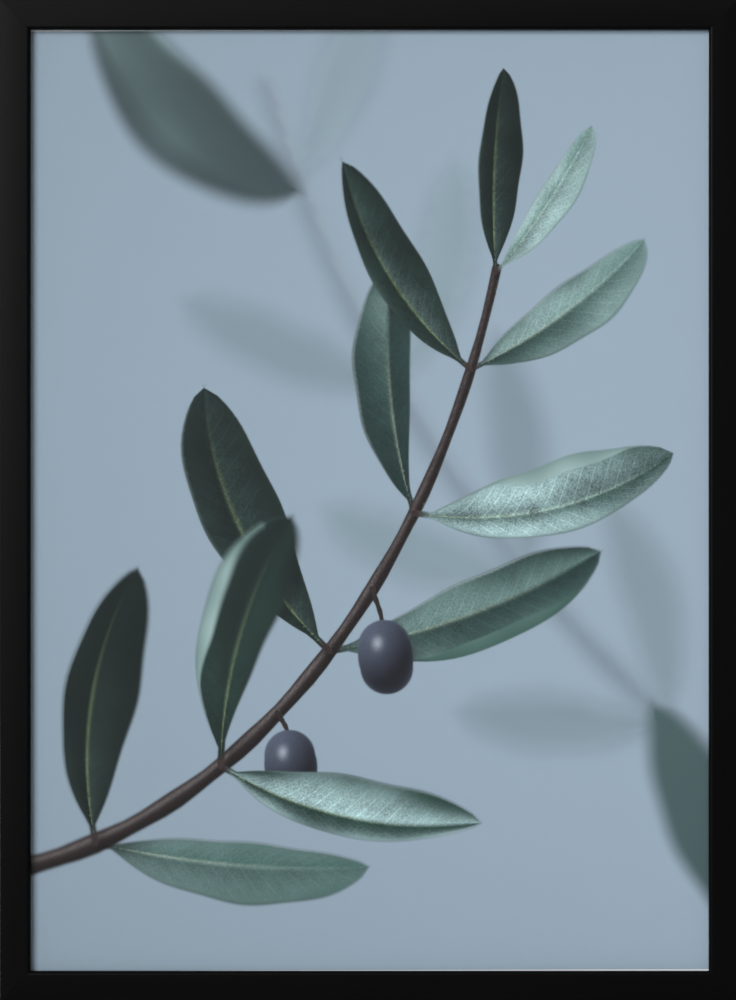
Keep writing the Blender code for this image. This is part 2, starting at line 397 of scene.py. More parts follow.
def hardware_cutters():
    cutters = bpy.data.collections.new("hardware_cutters")
    for name, node in frame["nodes"].items():
        if not name.startswith(LET_IN):
            continue
        shape = bmesh.new()
        shape.from_mesh(node.data)
        bmesh.ops.remove_doubles(shape, verts=shape.verts, dist=0.001 * MM)
        shape.normal_update()
        swollen = [v.co + v.normal * v.calc_shell_factor() * SLOT_PLAY for v in shape.verts]
        for vert, place in zip(shape.verts, swollen):
            vert.co = place
            if name.startswith("corner_wedge") and vert.co.y > BACK - SLOT_PLAY:
                vert.co.y = BACK + THROUGH_THE_BACK
        mesh = bpy.data.meshes.new(name + "_cutter")
        shape.to_mesh(mesh)
        shape.free()
        cutters.objects.link(bpy.data.objects.new(name + "_cutter", mesh))
    return cutters


def cut_slots(piece, cutters):
    cut = piece.modifiers.new("slots", "BOOLEAN")
    cut.operation = "DIFFERENCE"
    cut.operand_type = "COLLECTION"
    cut.collection = cutters
    cut.solver = "EXACT"
    graph = bpy.context.evaluated_depsgraph_get()
    finished = bpy.data.meshes.new_from_object(piece.evaluated_get(graph))
    piece.modifiers.clear()
    piece.data = finished
    piece.data.set_sharp_from_angle(angle=math.radians(SHARP_DEGREES))


cutters = hardware_cutters()
bpy.context.scene.collection.children.link(cutters)
for name, node, outer_length, distance, turn in LENGTHS:
    angle = math.radians(turn)
    outward = Vector((math.sin(angle), 0, math.cos(angle)))
    matrix = Matrix.Translation(CENTRE + outward * distance) @ Matrix.Rotation(angle, 4, "Y")
    strip = mitred_length(outer_length)
    length = hand_over(name, strip, LACQUER, node, matrix)
    cut_slots(length, cutters)
    print(name, len(length.data.polygons), "faces")
for cutter in list(cutters.objects):
    bpy.data.objects.remove(cutter)
bpy.data.collections.remove(cutters)

# %% [markdown]
# The clear front sheet is 2 mm acrylic. It is nearly invisible from the front, and it mirrors only
# at a slant. A refracting shader would block the lamps' direct light and leave the print in noisy
# shade, so the sheet is a perfect mirror that is mostly see-through. How much of it shows follows
# the usual rule for a polished face: four per cent head on, and all of it at a grazing angle. The
# sheet throws no shadow of its own, so that lamps and bounced light pass it without being traced
# through both of its faces, which would double the time that a picture takes.

# %% Make the front sheet clear
POLISHED_HEAD_ON = 0.04
CLEAR_TINT = (0.95, 0.97, 0.97, 1)


def clear_acrylic():
    acrylic = Finish("clear_acrylic")
    slant = acrylic.node("ShaderNodeLayerWeight", None, {"Blend": 0.5}, output=1)
    mirrored = slant**5 * (1 - POLISHED_HEAD_ON) + POLISHED_HEAD_ON
    return acrylic.wear(Base_Color=CLEAR_TINT, Metallic=1.0, Roughness=0.0, Alpha=mirrored)


for sheet in dress("glazing_sheet", clear_acrylic()):
    sheet.visible_shadow = False
    sheet.visible_diffuse = False

# %% [markdown]
# The picture is an arching olive twig with slender leaves and two fruits, sharp against a hazy twig
# far behind it, on a pale blue-grey ground. An image would be the quick way, but a drawing made of
# shapes can be edited and stays crisp at any size. So each leaf, stem and fruit is a band: a centre
# line with a reach to either side and an edge that is sharp or out of focus. All lengths in the
# drawing are millimetres from the picture's centre, X to the right and Z up.

# %% Small tools for drawing on the paper
def unit(vector):
    vector = np.asarray(vector, float)
    return vector / np.linalg.norm(vector)


def eased(share):
    share = np.clip(share, 0.0, 1.0)
    return share * share * (3 - 2 * share)


def mixed(first, second, share):
    share = np.asarray(share)[..., None]
    return np.asarray(first) * (1 - share) + np.asarray(second) * share


def curve_through(points, count):
    """A cubic Bezier curve from its four control points."""
    t = np.linspace(0, 1, count)[:, None]
    p0, p1, p2, p3 = [np.asarray(point, float) for point in points]
    return (1 - t) ** 3 * p0 + 3 * (1 - t) ** 2 * t * p1 + 3 * (1 - t) * t**2 * p2 + t**3 * p3


def place_on(curve, share):
    """The point at a share of the curve's length, and the heading there in degrees."""
    at = share * (len(curve) - 1)
    i = min(int(at), len(curve) - 2)
    run = curve[i + 1] - curve[i]
    return curve[i] + run * (at - i), math.degrees(math.atan2(run[1], run[0]))


print("drawing tools ready")


# %% A band: the one shape that everything in the picture is made of
class Band:
    """A centre line, its reach to either side, the softness of its edge, and how it is painted.

    A pointed band fades out past its two ends, and any other ends in two half circles.
    """

    def __init__(self, centre, left, right, soft, paint, depth, veined=0.0, pointed=True):
        steps = np.linalg.norm(np.diff(centre, axis=0), axis=1)
        self.centre, self.left, self.right, self.soft = centre, left, right, soft
        self.walked = np.concatenate([[0.0], np.cumsum(steps)])
        self.length = self.walked[-1]
        self.pointed = pointed
        if pointed:
            past = soft[0] * 1.5 + 0.5, soft[-1] * 1.5 + 0.5
            first = centre[0] + unit(centre[0] - centre[1]) * past[0]
            last = centre[-1] + unit(centre[-1] - centre[-2]) * past[1]
            self.centre = np.vstack([first, centre, last])
            self.left = np.concatenate([[left[0] - past[0]], left, [left[-1] - past[1]]])
            self.right = np.concatenate([[right[0] - past[0]], right, [right[-1] - past[1]]])
            self.soft = np.concatenate([[soft[0]], soft, [soft[-1]]])
            self.walked = np.concatenate([[-past[0]], self.walked, [self.length + past[1]]])
        self.paint = paint
        self.depth = depth
        self.veined = veined
        most = max(self.left.max(), self.right.max()) + self.soft.max() + 1
        self.low = self.centre.min(axis=0) - most
        self.high = self.centre.max(axis=0) + most

    def locate(self, points):
        """(share along, signed share across, distance inside the edge, softness) of each point."""
        start = self.centre[:-1]
        run = self.centre[1:] - start
        offset = points[:, None, :] - start[None]
        share = np.clip((offset * run).sum(axis=2) / (run**2).sum(axis=1), 0, 1)
        away = offset - share[..., None] * run
        distance = (away**2).sum(axis=2)
        piece = distance.argmin(axis=1)
        row = np.arange(len(points))
        share, away = share[row, piece], away[row, piece]
        side = np.where(run[piece, 0] * away[:, 1] >= run[piece, 1] * away[:, 0], 1.0, -1.0)
        off = np.sqrt(distance[row, piece])

        def pick(values):
            return values[piece] * (1 - share) + values[piece + 1] * share

        half = np.where(side > 0, pick(self.left), pick(self.right))
        across = np.clip(side * off / np.maximum(half, 1e-3), -1, 1)
        return pick(self.walked) / self.length, across, half - off, pick(self.soft)

    def near(self, points, margin=0.0):
        """Which points lie in the band's box, widened by a margin."""
        return ((points > self.low - margin) & (points < self.high + margin)).all(axis=1)

    def cover(self, points, blur=0.0):
        """How much of the ground the band hides at each point, from 0 to 1."""
        found = np.zeros(len(points))
        close = self.near(points, blur)
        if close.any():
            _, _, inside, soft = self.locate(points[close])
            soft = np.maximum(soft, blur)
            found[close] = eased((inside + soft) / (2 * soft))
        return found

    def lines(self, step, levels=(), ribs=()):
        """Points along the band: on its edges, from full ink (1) to none (-1), and on its ribs."""
        at = np.arange(self.walked[0], self.walked[-1], step)
        place = np.stack([np.interp(at, self.walked, self.centre[:, k]) for k in (0, 1)], axis=1)
        forward = np.gradient(place, axis=0)
        forward /= np.linalg.norm(forward, axis=1)[:, None]
        sideways = np.stack([-forward[:, 1], forward[:, 0]], axis=1)
        soft = np.interp(at, self.walked, self.soft)
        rows = []
        for sign, edge in ((1, self.left), (-1, self.right)):
            half = np.interp(at, self.walked, edge)
            reaches = [half - level * soft for level in levels] + [half * rib for rib in ribs]
            for reach in reaches:
                keep = (reach >= 0) & (half > -soft)
                rows.append((place + sign * sideways * reach[:, None])[keep])
        if not self.pointed:
            turn = np.arange(0, 2 * math.pi, step / max(self.left[0], self.left[-1]))
            circle = np.stack([np.cos(turn), np.sin(turn)], axis=1)
            for end in (0, -1):
                for level in levels:
                    radius = self.left[end] - level * self.soft[end]
                    rows.append(self.centre[end] + circle * radius)
        return np.vstack(rows)


print("bands can be drawn")

# %% [markdown]
# The picture should look photographed, so the bands are shaded as real leaves are: each point gets
# the direction that the leaf faces there, and the window's light on it. The upper side is dark and
# leathery with a soft sheen, and the under side is pale and silvery. Colours are linear light.

# %% Pigments and the light in the picture
LAMP = unit((-0.52, 0.66, 0.54))
HALFWAY = unit(LAMP + np.array((0.0, 0.0, 1.0)))
GROUND = np.array((0.299, 0.386, 0.466))
LEAF_TOP = np.array((0.0090, 0.0330, 0.0245))
LEAF_UNDER = np.array((0.060, 0.128, 0.112))
SHEEN_TOP = np.array((0.36, 0.50, 0.52))
SHEEN_UNDER = np.array((0.52, 0.66, 0.68))
SKY = np.array((0.85, 1.0, 1.1))
RIB_TOP = np.array((0.22, 0.30, 0.16))
RIB_UNDER = np.array((0.34, 0.42, 0.33))
RIM = np.array((0.010, 0.018, 0.016))
BARK = np.array((0.022, 0.013, 0.013))
BARK_SHEEN = np.array((0.30, 0.29, 0.29))
BACK_LAMP = unit((0.95, 0.10, -0.30))
OLIVE = np.array((0.016, 0.018, 0.030))
OLIVE_BLOOM = np.array((0.13, 0.17, 0.23))
OLIVE_GLINT = np.array((0.36, 0.40, 0.44))


def light_on(normal):
    """(how much of the lamp a facing catches, how much it glances to the viewer)."""
    return np.clip(normal @ LAMP, 0, 1)[:, None], np.clip(normal @ HALFWAY, 0, 1)[:, None]


def in_haze(colour, haze):
    return colour * (1 - haze) + GROUND * haze


print("pigments: 14")

# %% [markdown]
# A leaf is narrow at the stalk, widest before the middle and pointed. It bends sideways, leans to
# or from the viewer, rolls about its rib and folds up along it, and all that narrows the halves
# that are seen. Where an edge curls over, the pale under side shows as a thin second band. What
# lies out of focus has no crisp rib or bright edge, so both fade as the edge gets softer.

# %% Draw a leaf
LEAF_STEPS = 34
STALK_SHARE = 0.055
STALK_BREADTH = 0.011
WOODY_SHARE = 0.05
WIDENS, NARROWS = 0.80, 0.66
FOLD_DEGREES = 24
EDGE_RIPPLE = 0.035
THINNEST_SEEN = 0.06
RIM_STARTS = 0.90
BRIGHT_EDGE_AT, BRIGHT_EDGE_WIDTH = 0.965, 0.03
RIB_WIDTH = 0.05
CURL_WIDTH = 0.16
CURLED_STEPS = slice(6, 31)


def leaf(base, heading, length, width, lean=(0, 0), roll=0, bend=0, twist=0, under=False,
         soft=(0.45, 0.45), depth=0.0, haze=0.0, shine=1.0, curl=0, seed=0):
    """Angles are in degrees; lean and soft are given at the stalk and at the tip."""
    rng = np.random.default_rng(seed)
    v = np.linspace(0, 1, LEAF_STEPS)
    head = np.radians(heading + bend * (v - 0.15))
    tip = np.radians(lean[0] + (lean[1] - lean[0]) * v)
    turn = np.radians(roll + twist * (v - 0.3))
    ahead = np.stack([np.cos(tip) * np.cos(head), np.cos(tip) * np.sin(head)], axis=1)
    step = length / (LEAF_STEPS - 1) * ahead
    walked = np.cumsum((step[:-1] + step[1:]) / 2, axis=0)
    centre = np.asarray(base, float) + np.vstack([[0, 0], walked])
    blade = np.clip((v - STALK_SHARE) / (1 - STALK_SHARE), 0, 1)
    half = blade**WIDENS * (1 - blade) ** NARROWS
    half = half / half.max() * width / 2
    stalk = np.where(v < 0.14, STALK_BREADTH * length, 0.0)
    fold = math.radians(-FOLD_DEGREES if under else FOLD_DEGREES)
    reaches = []
    for side in (1, -1):
        waves = v * 2 * math.pi * rng.uniform(2.0, 3.4) + rng.uniform(0, 6)
        ripple = 1 + EDGE_RIPPLE * np.sin(waves)
        seen = np.maximum(np.cos(turn + side * fold), THINNEST_SEEN)
        reaches.append(np.maximum(half * ripple * seen, stalk))
    start = rng.uniform(0, 6, 3)
    softness = soft[0] + (soft[1] - soft[0]) * v**1.5
    flesh, sheen, rib = LEAF_TOP, SHEEN_TOP, RIB_TOP
    if under:
        flesh, sheen, rib = LEAF_UNDER, SHEEN_UNDER, RIB_UNDER

    def paint(spots, along, across):
        along = np.clip(along, 0, 1)
        h, l, r, blur = (np.interp(along, v, values) for values in (head, tip, turn, softness))
        crisp = np.clip(1.2 - blur / 5, 0, 1)
        side = np.clip(across / (0.50 - 0.44 * crisp), -1, 1)
        beside = np.stack([-np.sin(h), np.cos(h), 0 * h], axis=1)
        out = np.stack([-np.sin(l) * np.cos(h), -np.sin(l) * np.sin(h), np.cos(l)], axis=1)
        a = np.cos(r)[:, None] * beside + np.sin(r)[:, None] * out
        m = np.cos(r)[:, None] * out - np.sin(r)[:, None] * beside
        ripples = 7 * np.sin(along * 9 + start[0] + 1.5 * side)
        ripples = ripples + 5 * np.sin(along * 17 + start[1] - side)
        arch = (-28 if under else 34) * across + ripples * np.abs(across)
        tilt = fold * side - np.radians(arch)
        lit, glance = light_on(np.cos(tilt)[:, None] * m - np.sin(tilt)[:, None] * a)
        gloss = 0.62 * glance**12 if under else 0.95 * glance**16 + 0.045 * glance**3
        colour = flesh * (0.30 * SKY + 1.1 * lit**1.5) + sheen * gloss * shine
        colour = colour * (0.62 + 0.38 * eased(along / 0.35))[:, None]
        from_rib = np.abs(across)
        rim = eased((from_rib - RIM_STARTS) / (1 - RIM_STARTS))
        colour = mixed(colour, colour * 0.45 + RIM, rim)
        facing = np.clip((beside @ LAMP) * np.sign(across), 0, 1)
        off_edge = (from_rib - BRIGHT_EDGE_AT) / BRIGHT_EDGE_WIDTH
        bright_edge = facing * np.exp(-(off_edge**2))
        colour = mixed(colour, sheen * 0.62, 0.75 * crisp * bright_edge)
        midrib = np.exp(-((across / RIB_WIDTH) ** 2)) * eased(1.05 - along)
        colour = mixed(colour, rib, 0.60 * crisp * midrib)
        woody = eased(1.2 - along / WOODY_SHARE)
        return in_haze(mixed(colour, BARK * 1.6, woody), haze)

    veined = 0.0 if haze else 0.7 if under else 1.0
    made = [Band(centre, *reaches, softness, paint, depth, veined)]
    if curl:
        run = np.gradient(centre, axis=0)
        beside = np.stack([-run[:, 1], run[:, 0]], axis=1) / np.linalg.norm(run, axis=1)[:, None]
        share = eased((v - 0.22) / 0.25) * eased((0.93 - v) / 0.30)
        breadth = CURL_WIDTH * width * share
        edge = centre + beside * (curl * (reaches[0 if curl > 0 else 1] - breadth * 0.45))[:, None]

        def paint_curl(spots, along, across):
            glow = 0.45 + 0.45 * np.sin(along * math.pi) + 0.10 * np.sin(along * 21 + start[2])
            light = glow * (0.75 - 0.25 * across * curl)
            pale = LEAF_TOP * 2.2 + SHEEN_TOP * 0.19 * light[:, None]
            if not under:
                pale = LEAF_UNDER + SHEEN_UNDER * 0.55 * light[:, None]
            return in_haze(pale, haze)

        halves = breadth[CURLED_STEPS] / 2
        blur = softness[CURLED_STEPS]
        made.append(Band(edge[CURLED_STEPS], halves, halves, blur, paint_curl, depth + 0.1))
    return made


print("leaves can be drawn")

# %% [markdown]
# A stem is a round rod with small knots, and an olive is an egg shape with a waxy bloom and one
# small glint. Both are shaded from their roundness: across the band the facing turns like a circle.

# %% Draw a stem and an olive
def stem(points, radii, soft, depth, haze=0.0, count=40):
    centre = curve_through(points, count)
    t = np.linspace(0, 1, count)
    knots = 1 + 0.10 * np.cos(t * 2 * math.pi * 8)
    radius = (radii[0] + (radii[1] - radii[0]) * t) * knots
    run = np.gradient(centre, axis=0)
    heading = np.unwrap(np.arctan2(run[:, 1], run[:, 0]))

    def paint(spots, along, across):
        h = np.interp(np.clip(along, 0, 1), t, heading)
        bulge = np.sqrt(np.clip(1 - across**2, 0, 1))
        normal = np.stack([-np.sin(h) * across, np.cos(h) * across, bulge], axis=1)
        lit, glance = light_on(normal)
        rim = np.clip(normal @ BACK_LAMP, 0, 1)[:, None] ** 5
        shine = 0.30 * glance**20 + 0.9 * rim
        return in_haze(BARK * (0.35 + 1.1 * lit) + BARK_SHEEN * shine, haze)

    softness = np.interp(t, [0, 0.5, 1], soft)
    veined = 0.0 if haze else 0.9
    return Band(centre, radius, radius, softness, paint, depth, veined, pointed=False)


def olive(top, heading, length, width, soft, depth):
    a, b = length / 2, width / 2
    ahead = np.array((math.cos(math.radians(heading)), math.sin(math.radians(heading))))
    beside = np.array((-ahead[1], ahead[0]))
    middle = np.asarray(top, float) + a * ahead
    # The two end caps are the circles that also fit the ellipse's own width where they start.
    flatter = 1 + (b / a) ** 2
    core = (a - math.sqrt(a * a - flatter * (a * a - b * b))) / flatter
    x = np.linspace(-core, core, 12)
    half = b * np.sqrt(1 - (x / a) ** 2)

    def paint(spots, along, across):
        x, y = (spots - middle) @ ahead / a, (spots - middle) @ beside / b
        z = np.sqrt(np.clip(1 - x**2 - y**2, 0, 1))
        outside = np.maximum(1, np.hypot(x, y))
        flat = ahead * (x / outside)[:, None] + beside * (y / outside)[:, None]
        lit, glance = light_on(np.column_stack([flat, z]))
        bloom = 0.35 * lit**2 + 0.25 * (1 - z[:, None]) ** 3
        skin = OLIVE * (0.5 + 1.5 * lit) + OLIVE_BLOOM * bloom
        return skin + OLIVE_GLINT * (0.7 * glance**60)

    centre = middle + x[:, None] * ahead
    softness = np.full(len(x), soft)
    return Band(centre, half, half, softness, paint, depth, 0.25, pointed=False)


print("stems and olives can be drawn")

# %% [markdown]
# The twig enters at the lower left and arches to the upper right, with its leaves in opposite
# pairs that get smaller towards the end. Behind it another twig is far out of focus, and so are two
# leaves that reach in close before the lens. Depth orders the bands: what is nearer the viewer lies
# on top and throws a soft shadow on what is behind it.

# %% Compose the picture
TWIG = [(-262, -268), (-95, -235), (45, -60), (92, 168)]
FAR_TWIG = [(268, -205), (150, -110), (-10, 60), (-75, 300)]
FAR_DEPTH = -30
FAR_SOFT, FAR_HAZE = 13, 0.66
LEAVES = (
    # share of the twig, side, spread, length, width, lean, roll, bend, under side to the viewer,
    # soft, depth, twist, curl
    (0.13, 1, 72, 218, 66, (5, 30), 22, -42, False, (1.4, 3.2), 9, 24, 0),
    (0.13, -1, 34, 205, 56, (-5, -20), -24, 16, True, (1.4, 1.8), -9, -20, 0),
    (0.33, 1, 44, 230, 62, (24, 44), -34, -30, False, (0.7, 5.5), 14, 40, 1),
    (0.33, -1, 66, 210, 64, (14, 26), -34, 40, False, (0.6, 2.0), 8, -26, 0),
    (0.53, 1, 78, 222, 68, (0, 22), 30, -44, False, (0.5, 0.8), 7, -34, 0),
    (0.53, -1, 40, 226, 58, (-16, -26), -16, 22, True, (0.6, 1.6), -8, 34, -1),
    (0.72, 1, 40, 186, 52, (25, -6), 40, -24, True, (0.6, 1.6), -7, -40, 0),
    (0.72, -1, 66, 214, 66, (8, 34), -26, 46, False, (0.4, 0.9), 6, -20, 1),
    (0.89, 1, 62, 182, 56, (5, -15), 34, -38, False, (0.5, 1.2), 5, 26, 0),
    (0.89, -1, 44, 172, 48, (-10, -34), -10, 24, True, (0.5, 1.8), -6, -34, 0),
    (0.995, 1, 14, 150, 40, (0, 12), 26, -12, False, (0.5, 0.9), 3, 20, 0),
    (0.995, -1, 26, 128, 32, (0, 6), -30, 14, True, (0.5, 0.9), 2, 0, 0),
)
NEAR_LEAVES = (
    # stalk end, heading, length, width, roll, bend, under, depth, twist
    ((-205, 385), -58, 235, 88, 28, 34, False, 26, 20),
    ((300, -330), 128, 215, 80, -30, -30, True, 24, -24),
)
OLIVE_LENGTH, OLIVE_WIDTH = 54, 40
OLIVES = (
    # share of the twig, drop below it, size, depth
    (0.43, 14, 0.96, 4.0),
    (0.62, 24, 1.0, 4.5),
)


def compose():
    made = [stem(FAR_TWIG, (6.0, 4.0), (FAR_SOFT,) * 3, -60, haze=0.62)]
    made.append(stem(TWIG, (7.5, 3.2), (2.0, 0.5, 0.6), 0))
    rng = np.random.default_rng(11)
    far_curve, curve = curve_through(FAR_TWIG, 60), curve_through(TWIG, 80)
    for i, share in enumerate((0.14, 0.40, 0.66, 0.90)):
        for side in (-1, 1):
            point, heading = place_on(far_curve, share)
            heading += side * (46 + rng.uniform(-8, 8))
            length = 165 + rng.uniform(-14, 14)
            made += leaf(point, heading, length, 46, roll=side * 20, bend=-side * 22,
                         under=(i + (side > 0)) % 2 == 0, soft=(FAR_SOFT, 16), depth=-50 + i,
                         haze=FAR_HAZE, shine=0.6, seed=i)
    for i, row in enumerate(LEAVES):
        share, side, spread, length, width, lean, roll, bend, under, soft, depth, twist, curl = row
        point, heading = place_on(curve, share)
        made += leaf(point, heading + side * spread, length, width, lean, roll, bend, twist, under,
                     soft, depth, curl=curl, seed=100 + i)
    for i, row in enumerate(NEAR_LEAVES):
        base, heading, length, width, roll, bend, under, depth, twist = row
        made += leaf(base, heading, length, width, (10, 20), roll, bend, twist, under, (7.0, 10.0),
                     depth, haze=0.12, shine=0.7, seed=200 + i)
    for share, drop, size, depth in OLIVES:
        point, _ = place_on(curve, share)
        end = point + (7.0, -drop)
        path = [point, point + (2, -0.3 * drop), end + (0, 0.3 * drop), end]
        made.append(stem(path, (2.0, 1.6), (0.5, 0.5, 0.5), depth - 0.5, count=12))
        top = end + (0, 1.5)
        made.append(olive(top, -84, OLIVE_LENGTH * size, OLIVE_WIDTH * size, 0.7, depth))
    return sorted(made, key=lambda band: band.depth)


BANDS = compose()
print("bands in the picture:", len(BANDS))

# %% [markdown]
# Ink is laid band by band, from the farthest to the nearest. Each point of the paper ends with one
# ink colour, the share of the ground that the ink hides, and for the nearest band where the point
# lies on it, so that the shader can draw fine veins there later.

# %% Lay the ink at given points
SHADOW_SHIFT = np.array((-5.0, 7.0))
SHADOW_STRENGTH = 0.55
LEAST_GAP = 0.5
VEIN_SPACING = 11.0


def lay_ink(points):
    """(ink colour times cover, cover, where on the band) at each point."""
    ink = np.zeros((len(points), 3))
    cover = np.zeros(len(points))
    where = np.zeros((len(points), 3))
    for i, band in enumerate(BANDS):
        close = band.near(points)
        spots = points[close]
        along, across, inside, soft = band.locate(spots)
        alpha = eased((inside + soft) / (2 * soft))
        shade = np.ones(len(spots))
        seen = alpha > 0
        for nearer in BANDS[i + 1:]:
            gap = nearer.depth - band.depth
            if gap >= LEAST_GAP and band.depth > FAR_DEPTH and seen.any():
                shift = SHADOW_SHIFT * min(gap / 8, 1.6)
                blocked = nearer.cover(spots[seen] + shift, 3.0 + 0.5 * gap)
                shade[seen] *= 1 - SHADOW_STRENGTH * blocked
        ink[close] = mixed(ink[close], band.paint(spots, along, across) * shade[:, None], alpha)
        cover[close] = cover[close] * (1 - alpha) + alpha
        fade = band.veined * (1 - np.abs(across) ** 4) * np.clip(1.2 - soft / 2.5, 0, 1)
        on_band = np.column_stack([along * band.length / VEIN_SPACING, across, fade])
        where[close] = mixed(where[close], on_band, alpha)
    return ink, cover, where


# %% [markdown]
# The front of the paper is cut into triangles that follow the drawing: two close rows of points
# along each sharp edge, more rows where it is soft, some along the midribs, and a plain field in
# between, dense on the leaves and sparse on the ground. A Delaunay triangulation joins them, and
# what a nearer leaf hides is left out. Colours between the points come from the shader for free.

# %% Choose the points and join them
FINE, COARSE, EDGE_STEP, RIB_STEP = 2.0, 5.5, 0.9, 2.0
SNAP = 0.05
half_paper = np.array((paper_high[0] - paper_low[0], paper_high[2] - paper_low[2])) / MM / 2


def field(step):
    """An even, staggered field of points over the paper, clear of its edges."""
    xs = np.arange(-half_paper[0] + 1, half_paper[0] - step / 2 - 1, step)
    zs = np.arange(-half_paper[1] + 1, half_paper[1] - 1, step * 0.866)
    spots = np.stack(np.meshgrid(xs, zs), axis=2)
    spots[1::2, :, 0] += step / 2
    return spots.reshape(-1, 2)


def paper_edge(step):
    """Points along the paper's own edge, in order all the way round."""
    corners = [(-1, -1), (1, -1), (1, 1), (-1, 1)]
    sides = []
    for start, stop in zip(corners, corners[1:] + corners[:1]):
        start, stop = half_paper * start, half_paper * stop
        count = int(np.abs(stop - start).max() / step)
        sides.append(start + (stop - start) * np.arange(count)[:, None] / count)
    return np.vstack(sides)


def picture_points():
    near = [band for band in BANDS if band.depth > FAR_DEPTH]

    def most_cover(bands, spots):
        return np.max([band.cover(spots) for band in bands] or [np.zeros(len(spots))], axis=0)

    fine, coarse = field(FINE), field(COARSE)
    rows = [fine[most_cover(near, fine) > 0], coarse[most_cover(near, coarse) == 0]]
    for i, band in enumerate(near):
        step, levels = EDGE_STEP, (1, -1)
        if band.soft.max() >= 1:
            step, levels = 2 * EDGE_STEP, (1, 0.6, 0.2, -0.2, -0.6, -1)
        lines = band.lines(step, levels)
        if band.veined:
            lines = np.vstack([lines, band.lines(RIB_STEP, (), (0.0, 0.05, 0.12, 0.88, 0.96))])
        rows.append(lines[most_cover(near[i + 1:], lines) < 0.999])
    spots = np.vstack(rows)
    spots = spots[(np.abs(spots) < half_paper - 1).all(axis=1)]
    return np.unique(np.round(spots / SNAP), axis=0) * SNAP


edge = paper_edge(COARSE)
spots = np.vstack([edge, picture_points()])
joined = delaunay_2d_cdt([Vector(spot) for spot in spots], [], [], 0, SNAP / 10)
print("points", len(spots), "triangles", len(joined[2]))

# %% [markdown]
# The paper itself is a closed sheet 0.3 mm thick: the triangles in front, a border of thin faces
# round the edge, and one face behind. The ink goes into the mesh as attributes, one value to each
# point. They are written after the mesh is made, in the order of its vertices.

# %% Make the sheet of paper
def printed_sheet():
    shape = bmesh.new()
    flat = np.array([vert[:] for vert in joined[0]])
    spot = {}
    for i, (x, z) in enumerate(flat):
        shape.verts.new((x * MM, paper_low[1], CENTRE.z + z * MM))
        spot[round(x / SNAP), round(z / SNAP)] = i
    shape.verts.ensure_lookup_table()
    for corners in joined[2]:
        shape.faces.new([shape.verts[i] for i in corners])
    front = [shape.verts[spot[round(x / SNAP), round(z / SNAP)]] for x, z in edge]
    behind = [shape.verts.new((vert.co.x, paper_high[1], vert.co.z)) for vert in front]
    for i in range(len(front)):
        after = (i + 1) % len(front)
        shape.faces.new((front[i], front[after], behind[after], behind[i]))
    shape.faces.new(behind)
    return shape, flat


def set_ink(mesh, flat):
    ink, cover, where = lay_ink(flat)
    colours = np.zeros((len(mesh.vertices), 4), np.float32)
    colours[: len(flat)] = np.column_stack([ink, cover])
    places = np.zeros((len(mesh.vertices), 3), np.float32)
    places[: len(flat)] = where
    inked = mesh.attributes.new("ink", "FLOAT_COLOR", "POINT")
    inked.data.foreach_set("color", colours.ravel())
    placed = mesh.attributes.new("leaf_place", "FLOAT_VECTOR", "POINT")
    placed.data.foreach_set("vector", places.ravel())
    print("ink covers", round(float(cover.mean()) * 100), "% of the points")


# %% [markdown]
# The paper's finish joins the ink and the ground. The ground is lighter towards the right, as a
# backdrop is that a window lights, with a trace of film grain. On the leaves, the shader adds
# side veins, pores and clouds that would need far too many points. The unprinted margin and the
# back of the sheet stay white. The picture is printed a sixth of a degree askew, so a hair of that
# margin peeks out at the right end of the lower edge and at the left end of the upper one.

# %% Mix the printed paper
MARGINS = {"left": 3.8, "right": 3.9, "top": 4.8, "bottom": 4.9}
ASKEW = 0.0027
RISE_ACROSS, FALL_UP = 0.22 / 490, 0.04 / 690
CORNERS_FADE_X, CORNERS_FADE_Z = 0.03 / 245**2, 0.07 / 345**2
PAPER_WHITE = (0.80, 0.82, 0.83, 1)
MARGIN_BLEED = 0.12


